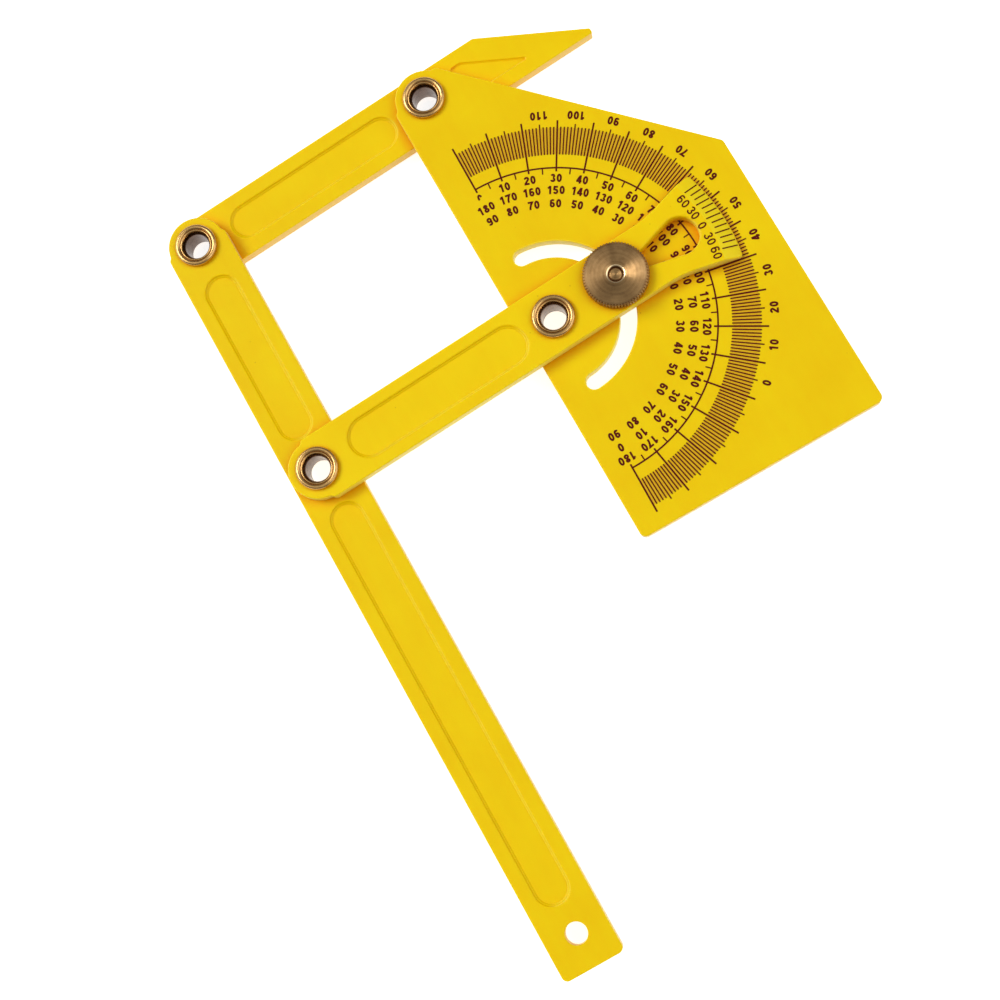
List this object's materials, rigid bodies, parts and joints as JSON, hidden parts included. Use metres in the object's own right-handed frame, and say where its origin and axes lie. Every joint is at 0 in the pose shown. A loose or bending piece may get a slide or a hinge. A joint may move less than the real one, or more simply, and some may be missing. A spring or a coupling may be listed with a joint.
{
  "type": "angle finder with arms",
  "caption": "Flat plastic angle finder: protractor plate and long arm joined by two short arms on brass eyelets, with a knurled clamp nut.",
  "frame": {"origin": "axis of the centre pivot's eyelet, at the height of the plate's printed face", "axes": "+Z out of the printed face, +Y along the plate's long edge from the centre pivot to the top pivot, +X towards the scale"},
  "size_m": [0.1228, 0.1958, 0.014],
  "materials": {
    "plate_plastic": "smooth moulded, printed scales",
    "arm_plastic": "smooth moulded",
    "pointer_plastic": "smooth moulded, printed vernier",
    "eyelet_brass": "polished",
    "clamp_brass": "turned, lightly aged"
  },
  "bodies": {
    "plate": {"protractor_plate": "plate_plastic", "top_eyelet": "eyelet_brass", "centre_eyelet": "eyelet_brass"},
    "tip_arm": {"tip_arm": "arm_plastic", "corner_eyelet": "eyelet_brass"},
    "long_arm": {"long_arm": "arm_plastic"},
    "pointer_arm": {"pointer_arm": "pointer_plastic", "lower_eyelet": "eyelet_brass"},
    "clamp_bolt": {"clamp_bolt": "clamp_brass"},
    "thumb_nut": {"thumb_nut": "clamp_brass"}
  },
  "joints": [
    {"name": "arm_swing", "type": "hinge", "parent": "plate", "child": "tip_arm", "pos_m": [0, 0.061, 0], "axis": [0, 0, 1], "range_deg": [-78.25, 73.25]},
    {"name": "long_arm_turn", "type": "hinge", "parent": "tip_arm", "child": "long_arm", "pos_m": [-0.06244, 0.05827, 0], "axis": [0, 0, 1], "range_deg": [-73.25, 78.25]},
    {"name": "pointer_swing", "type": "hinge", "parent": "plate", "child": "pointer_arm", "pos_m": [0, 0, 0], "axis": [0, 0, 1], "range_deg": [-78.25, 73.25]},
    {"name": "nut_turn", "type": "hinge", "parent": "pointer_arm", "child": "thumb_nut", "pos_m": [0.01648, 0.00072, 0], "axis": [0, 0, 1], "range_deg": [0, 360]},
    {"name": "bolt_travel", "type": "slide", "parent": "pointer_arm", "child": "clamp_bolt", "axis": [0, 0, -1], "range_m": [0, 0.0005]}
  ],
  "couplings": [
    {"joint": "long_arm_turn", "follows": "arm_swing", "ratio": -1},
    {"joint": "pointer_swing", "follows": "arm_swing", "ratio": 1},
    {"joint": "bolt_travel", "follows": "nut_turn", "m_per_rad": 0.000079577}
  ]
}
